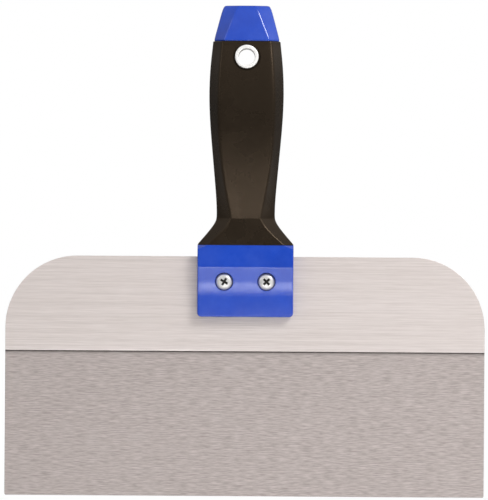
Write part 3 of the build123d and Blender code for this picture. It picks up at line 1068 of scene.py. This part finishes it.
bm = bmesh.new()
bmesh.ops.create_cube(bm, size=1.0)
slot_size = (3 * half_head, blade_high.y - plate_low.y, SLOT_TOP - head_bottom_z + SLOT_SPARE)
bmesh.ops.scale(bm, verts=bm.verts, vec=slot_size)
slot_middle = (0.0, (blade_high.y + plate_low.y) / 2, (SLOT_TOP + head_bottom_z - SLOT_SPARE) / 2)
bmesh.ops.translate(bm, verts=bm.verts, vec=slot_middle)
cut(core_moulding, mesh_object("tool", bm))
for x, z in screw_axes.values():
    cut(core_moulding, mesh_object("tool", round_rod(RECESS_RADIUS, x, -PAST_HEAD, RECESS_FLOOR, z, 64)))
    cut(core_moulding, mesh_object("tool", round_rod(HOLE_RADIUS, x, -PAST_HEAD, PAST_HEAD, z)))
    pocket = round_rod(POCKET_HALF * corner_share, x, NUT_SEAT, PAST_HEAD, z, 6)
    cut(core_moulding, mesh_object("tool", pocket))
cut(core_moulding, mesh_object("tool", round_rod(TUBE_RADIUS, 0.0, -PAST_GRIP, PAST_GRIP, 0.0)))
present(core_moulding, "handle", "core_plastic", ["handle_core"], blue_moulding)

# %% [markdown]
# ## Screws, nuts and eyelet
# Turned parts are easiest to make as a lathe would: draw half of the outline from the axis outwards and
# spin it a full turn. The outline's corners are bevelled first, so every edge of the turned part is
# round. The helper draws the outline in radius and depth, with the axis running from front to back.

# %% Lathe helper


def turned(outline, x, z, steps, rounding=()):
    """Spin an outline of (radius, y) points about an axis that runs from front to back."""
    bm = bmesh.new()
    corners = [bm.verts.new((x + radius, y, z)) for radius, y in outline]
    for place, corner in enumerate(corners[:-1]):
        bm.edges.new((corner, corners[place + 1]))
    if outline[0][0] > 0.0:
        bm.edges.new((corners[-1], corners[0]))
    for place, size in rounding:
        bmesh.ops.bevel(bm, geom=[corners[place]], offset=size, segments=5, profile=0.5,
                        affect="VERTICES", material=-1)
    profile = list(bm.verts) + list(bm.edges)
    bmesh.ops.spin(bm, geom=profile, cent=(x, 0.0, z), axis=(0.0, 1.0, 0.0),
                   angle=math.radians(360.0), steps=steps, use_merge=True)
    bmesh.ops.remove_doubles(bm, verts=bm.verts, dist=MERGE_DISTANCE)
    bmesh.ops.recalc_face_normals(bm, faces=bm.faces)
    return bm


# %% [markdown]
# The clamp screws have low pan heads with a cross recess. The cross is cut by two tapered bars. Its
# walls get the second finish, a near-black painted shade for the recess. They are
# the faces that lie below the domed head, whose surface falls away from the middle outwards.

# %% Clamp screws
HEAD_RADIUS = 4.45 * MM
SHANK_RADIUS = 2.5 * MM
CROSS_WIDTH = 1.45 * MM
CROSS_REACH = 3.0 * MM
CROSS_DEPTH = 1.5 * MM
CROSS_TURNS = {"left": 30.0, "right": 45.0}
BAR_TAPER = (0.45, 1.0, 0.7)
DARK_BELOW = 0.14
DARK_SLOPE = 0.26
DARK_FROM = 1.6

head_seat_y = RECESS_FLOOR


def cross_bar(x, z, turn):
    """Make one tapered bar of a cross recess."""
    bm = bmesh.new()
    bmesh.ops.create_cube(bm, size=2.0)
    bmesh.ops.scale(bm, verts=bm.verts, vec=(CROSS_REACH, CROSS_DEPTH, CROSS_WIDTH / 2))
    deep = [v for v in bm.verts if v.co.y > 0]
    bmesh.ops.scale(bm, verts=deep, vec=BAR_TAPER)
    bmesh.ops.rotate(bm, verts=bm.verts, matrix=Matrix.Rotation(math.radians(turn), 3, "Y"))
    bmesh.ops.translate(bm, verts=bm.verts, vec=(x, screw_front_y, z))
    return bm


for side, (x, z) in screw_axes.items():
    outline = [
        (0.0, screw_front_y), (2.6 * MM, screw_front_y + 0.08 * MM), (3.8 * MM, screw_front_y + 0.42 * MM),
        (HEAD_RADIUS, screw_front_y + 1.15 * MM), (HEAD_RADIUS, head_seat_y), (SHANK_RADIUS, head_seat_y),
        (SHANK_RADIUS, screw_back_y - 0.4 * MM), (SHANK_RADIUS - 0.4 * MM, screw_back_y), (0.0, screw_back_y),
    ]
    bm = turned(outline, x, z, 64, [(3, 0.35 * MM), (2, 0.5 * MM)])
    screw = mesh_object("pan_screw_" + side, bm)
    for turn in (CROSS_TURNS[side], CROSS_TURNS[side] + 90.0):
        cut(screw, mesh_object("tool", cross_bar(x, z, turn)))
    present(screw, "handle", "screw_plating", ["clamp_screw_" + side], bright_zinc, painted_recess_shade)
    # the faces inside the cross recess take the painted shade finish
    for face in screw.data.polygons:
        centre = face.center
        reach = math.hypot(centre.x - x, centre.z - z)
        below = screw_front_y + (DARK_BELOW + DARK_SLOPE * max(reach / MM - DARK_FROM, 0.0)) * MM
        if reach < CROSS_REACH + 0.2 * MM and below < centre.y < screw_front_y + 2.0 * MM:
            face.material_index = 1

# %% [markdown]
# Each nut is a six-sided prism whose outer corners are rounded off by a lathe cut. Here the prism is
# intersected with a low turned cone, as a real nut's blank is, and then bored for the screw.

# %% Nuts
NUT_CHAMFER_HEIGHT = 0.5 * MM
NUT_CHAMFER = 0.85 * MM

for side, (x, z) in screw_axes.items():
    low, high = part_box("clamp_nut_" + side)
    corner_radius = NUT_HALF * corner_share
    nut = mesh_object("hex_nut_" + side, round_rod(corner_radius, x, low.y, high.y, z, 6))
    cone_outline = [
        (0.0, low.y), (corner_radius, low.y), (corner_radius, high.y - NUT_CHAMFER_HEIGHT),
        (corner_radius - NUT_CHAMFER, high.y), (0.0, high.y),
    ]
    cut(nut, mesh_object("tool", turned(cone_outline, x, z, 64)), "INTERSECT")
    cut(nut, mesh_object("tool", round_rod(SHANK_RADIUS, x, low.y - MM, high.y + MM, z, 48)))
    present(nut, "handle", "nut_steel", ["clamp_nut_" + side], plain_nut)

# %% [markdown]
# The eyelet is a thin plated tube with a rolled flange in front, held behind by a ring of the same shape.
# Both are turned, with a wide bevel on the flange's two edges so that it looks rolled.

# %% Hang eyelet and its ring
eyelet_outline = [
    (BORE_RADIUS, -face_y), (flange_radius, -face_y), (flange_radius, -seat_y), (TUBE_RADIUS, -seat_y),
    (TUBE_RADIUS, face_y), (BORE_RADIUS, face_y),
]
bm = turned(eyelet_outline, 0.0, 0.0, 96, [(0, 0.55 * MM), (1, 0.6 * MM), (5, 0.3 * MM)])
eyelet = mesh_object("rolled_eyelet", bm)
present(eyelet, "handle", "eyelet_plating", ["hang_eyelet"], bright_nickel)

ring_outline = [
    (TUBE_RADIUS, seat_y), (flange_radius, seat_y), (flange_radius, face_y), (TUBE_RADIUS, face_y),
]
bm = turned(ring_outline, 0.0, 0.0, 96, [(2, 0.6 * MM), (3, 0.25 * MM)])
eyelet_ring = mesh_object("eyelet_back_ring", bm)
present(eyelet_ring, "handle", "eyelet_plating", ["hang_eyelet_ring"], bright_nickel)

# %% Finish
low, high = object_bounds()
